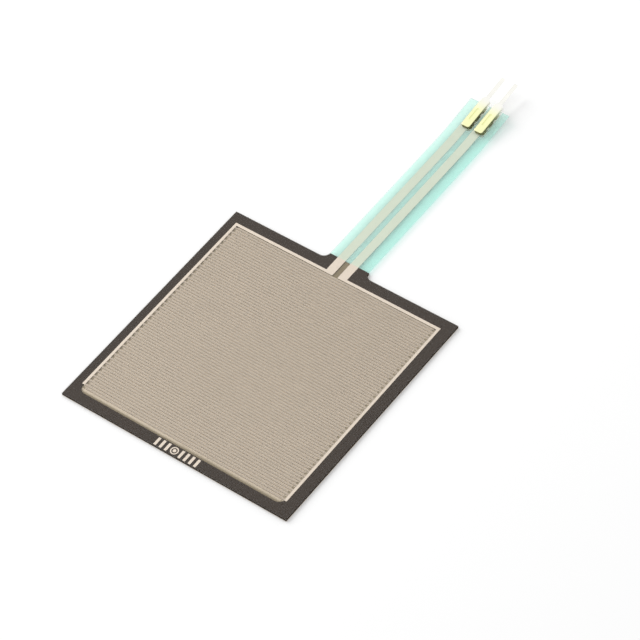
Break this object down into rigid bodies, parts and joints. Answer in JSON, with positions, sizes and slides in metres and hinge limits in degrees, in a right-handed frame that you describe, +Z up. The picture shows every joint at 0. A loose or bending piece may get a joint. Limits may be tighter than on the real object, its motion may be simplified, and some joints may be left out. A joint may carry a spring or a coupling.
{
  "type": "force sensing resistor",
  "caption": "Flat square force sensing resistor with interleaved silver combs, a clear film tail and crimped solder contacts.",
  "frame": {"origin": "centre of the square body, on its underside", "axes": "+X across the body, +Y along the tail towards the contacts, +Z up out of the sensing side"},
  "size_m": [0.0436, 0.0886, 0.0025],
  "materials": {
    "release_liner": "smooth siliconised paper",
    "rear_adhesive": "clear tacky acrylic",
    "base_film": "clear polyester film",
    "resistive_ink": "matt carbon ink",
    "spacer_adhesive": "clear acrylic adhesive",
    "silver_ink": "satin printed silver",
    "tail_coating": "clear green-tinted coating",
    "clear_film": "clear polyester film",
    "contact_plating": "bright gold plating"
  },
  "bodies": {
    "root": {"release_liner": "release_liner", "rear_adhesive": "rear_adhesive", "base_film": "base_film", "resistive_layer": "resistive_ink", "spacer_adhesive": "spacer_adhesive", "left_comb": "silver_ink", "right_comb": "silver_ink", "index_marks": "silver_ink", "tail_coating": "tail_coating", "clear_film": "clear_film", "left_contact": "contact_plating", "right_contact": "contact_plating"}
  },
  "joints": []
}
